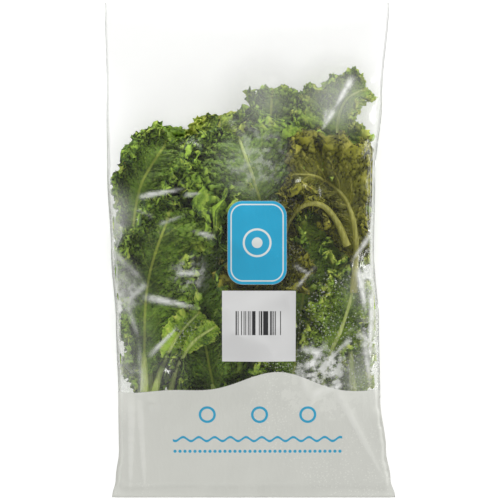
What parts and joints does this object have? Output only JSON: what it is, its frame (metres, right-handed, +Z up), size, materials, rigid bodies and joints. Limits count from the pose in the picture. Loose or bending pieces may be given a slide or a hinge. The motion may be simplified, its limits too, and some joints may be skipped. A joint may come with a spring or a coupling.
{
  "type": "bagged curly kale bunch",
  "caption": "Bunch of loose curly kale leaves with cut stems, lying flat in an open clear film bag with a pale print band and a plain white paper sticker.",
  "frame": {"origin": "centre of the bag's outline, on the surface that the bag lies on", "axes": "+Y from the bag's welded end to its open mouth, +Z up through the back film and the front film, +X across the bag, to the right when seen from above with the mouth away from the viewer"},
  "size_m": [0.234, 0.398, 0.0528],
  "materials": {
    "leaf_green": "waxy dark green leaf",
    "leaf_pale": "waxy light green leaf",
    "leaf_olive": "waxy olive leaf",
    "film": "clear glossy film with a milky print band and a blue panel",
    "paper": "matt white sticker with plain black bars"
  },
  "bodies": {
    "root": {"leaf_under_left": "leaf_green", "leaf_under_right": "leaf_green", "leaf_under_middle": "leaf_green", "leaf_left_edge": "leaf_green", "leaf_right_edge": "leaf_green", "leaf_tall": "leaf_pale", "leaf_yellowing": "leaf_pale", "leaf_middle_left": "leaf_green", "leaf_middle_right": "leaf_green", "leaf_lower_right": "leaf_green", "leaf_centre": "leaf_pale", "leaf_top_left": "leaf_green", "leaf_left_middle": "leaf_green", "leaf_top_right": "leaf_pale", "leaf_olive_arched": "leaf_olive", "leaf_olive_hooked": "leaf_olive", "leaf_lower_left": "leaf_pale", "leaf_lower_middle": "leaf_pale", "bag": "film", "sticker": "paper"}
  },
  "joints": []
}
